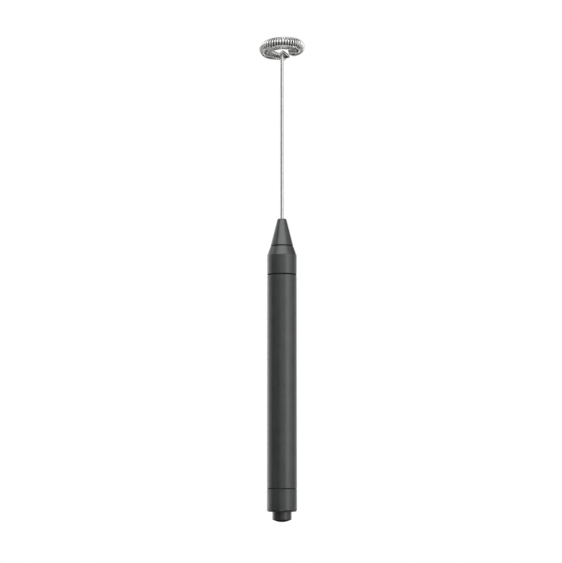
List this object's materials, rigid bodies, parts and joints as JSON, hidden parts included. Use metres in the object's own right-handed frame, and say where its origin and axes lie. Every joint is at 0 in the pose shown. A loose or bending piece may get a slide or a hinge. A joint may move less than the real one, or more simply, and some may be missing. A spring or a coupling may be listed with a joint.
{
  "type": "milk frother",
  "caption": "Slim hand-held battery milk frother: dark metal barrel with a cone nose, a long wire whisk with a coil round its ring, and a push button in a removable end cap.",
  "frame": {"origin": "on the spindle's axis, halfway along the barrel tube, where a hand holds the frother", "axes": "+Z along the spindle towards the whisk; the button is at the -Z end; the front of the picture looks along +Y"},
  "size_m": [0.022, 0.021, 0.2309],
  "materials": {
    "dark_anodised": "satin dark grey, fine bead-blasted anodised",
    "button_black": "matte near-black",
    "polished_steel": "polished stainless wire",
    "spring_steel": "bright drawn wire",
    "motor_steel": "nickel-plated",
    "black_rubber": "matte",
    "black_plastic": "matte",
    "white_plastic": "matte",
    "green_board": "solder-masked board",
    "brass": "bright",
    "bronze": "sintered",
    "copper": "enamelled wire",
    "cell_jacket": "plain printed jacket without any marking",
    "magnet": "sintered ferrite",
    "lamination": "stacked sheet"
  },
  "bodies": {
    "handle": {"barrel_tube": "dark_anodised", "front_collar": "dark_anodised", "nose_cone": "dark_anodised", "nose_bush": "white_plastic", "stem_seal": "black_rubber", "battery_liner": "black_plastic", "contact_board": "green_board", "plus_contact": "brass", "motor_can": "motor_steel", "motor_end_bell": "white_plastic", "motor_rear_bush": "bronze", "motor_front_bush": "bronze", "motor_brush_plus": "brass", "motor_brush_minus": "brass", "motor_magnet_north": "magnet", "motor_magnet_south": "magnet"},
    "end_cap": {"end_cap": "dark_anodised", "cap_o_ring": "black_rubber", "switch_housing": "black_plastic", "switch_spring": "spring_steel", "contact_plate": "brass", "switch_retaining_ring": "brass", "tail_spring": "spring_steel"},
    "button": {"button": "button_black", "switch_plunger": "white_plastic"},
    "cell_rear": {"cell_rear": "cell_jacket"},
    "cell_front": {"cell_front": "cell_jacket"},
    "whisk": {"motor_shaft": "spring_steel", "motor_commutator": "copper", "motor_armature": "lamination", "motor_winding_1": "copper", "motor_winding_2": "copper", "motor_winding_3": "copper", "stem_coupling": "brass", "whisk_wire": "polished_steel", "whisk_coil": "polished_steel"}
  },
  "joints": [
    {"name": "whisk_spin", "type": "hinge", "parent": "handle", "child": "whisk", "pos_m": [0, 0, 0], "axis": [0, 0, 1], "continuous": true},
    {"name": "end_cap_draw", "type": "slide", "parent": "handle", "child": "end_cap", "axis": [0, 0, -1], "range_m": [0, 0.106]},
    {"name": "button_press", "type": "slide", "parent": "end_cap", "child": "button", "axis": [0, 0, 1], "range_m": [0, 0.0015], "stiffness_N_per_m": 800, "springref_m": -0.001, "deforming": ["switch_spring"]},
    {"name": "cell_rear_slide", "type": "slide", "parent": "handle", "child": "cell_rear", "axis": [0, 0, -1], "range_m": [0, 0.102]},
    {"name": "cell_front_slide", "type": "slide", "parent": "handle", "child": "cell_front", "axis": [0, 0, -1], "range_m": [0, 0.0986]}
  ],
  "couplings": [
    {"joint": "cell_rear_slide", "follows": "end_cap_draw", "ratio": 0.96},
    {"joint": "cell_front_slide", "follows": "end_cap_draw", "ratio": 0.93}
  ]
}
